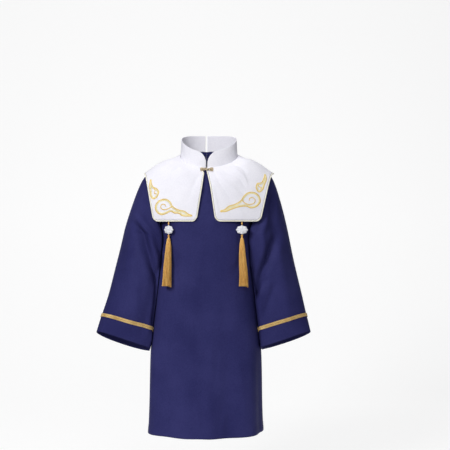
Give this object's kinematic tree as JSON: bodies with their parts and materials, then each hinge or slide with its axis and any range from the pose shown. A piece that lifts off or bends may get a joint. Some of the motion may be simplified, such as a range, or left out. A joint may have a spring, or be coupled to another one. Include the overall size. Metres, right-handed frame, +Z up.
{
  "type": "graduation gown",
  "caption": "Child's graduation gown: long robe with bell sleeves under a white shoulder cape with stand collar, throat clasp and hanging tassels.",
  "frame": {"origin": "the middle of the neckline at shoulder height, where the wearer carries the gown", "axes": "+Z up along the wearer's body, -Y to the gown's front, +X to the wearer's left"},
  "size_m": [0.6412, 0.2473, 0.8836],
  "materials": {
    "navy_cloth": "satin-faced suiting",
    "white_cloth": "matt lined cloth",
    "ivory_piping": "satin piping cord",
    "gold_thread": "silky gold yarn",
    "gold_braid": "woven metallic braid",
    "gold_metal": "cast, brushed gold tone",
    "pale_bead": "polished pale imitation jade"
  },
  "bodies": {
    "root": {"bead_left": "pale_bead", "bead_right": "pale_bead", "braid_left": "gold_braid", "braid_right": "gold_braid", "cape_left": "white_cloth", "cape_right": "white_cloth", "clasp_knot": "gold_metal", "clasp_left": "gold_metal", "clasp_right": "gold_metal", "collar_left": "white_cloth", "collar_right": "white_cloth", "cuff_left": "navy_cloth", "cuff_right": "navy_cloth", "hanger_left": "gold_thread", "hanger_right": "gold_thread", "piping_left": "ivory_piping", "piping_right": "ivory_piping", "robe_back_left": "navy_cloth", "robe_back_right": "navy_cloth", "robe_front": "navy_cloth", "sleeve_left": "navy_cloth", "sleeve_right": "navy_cloth", "tassel_left": "gold_thread", "tassel_right": "gold_thread"}
  },
  "joints": []
}
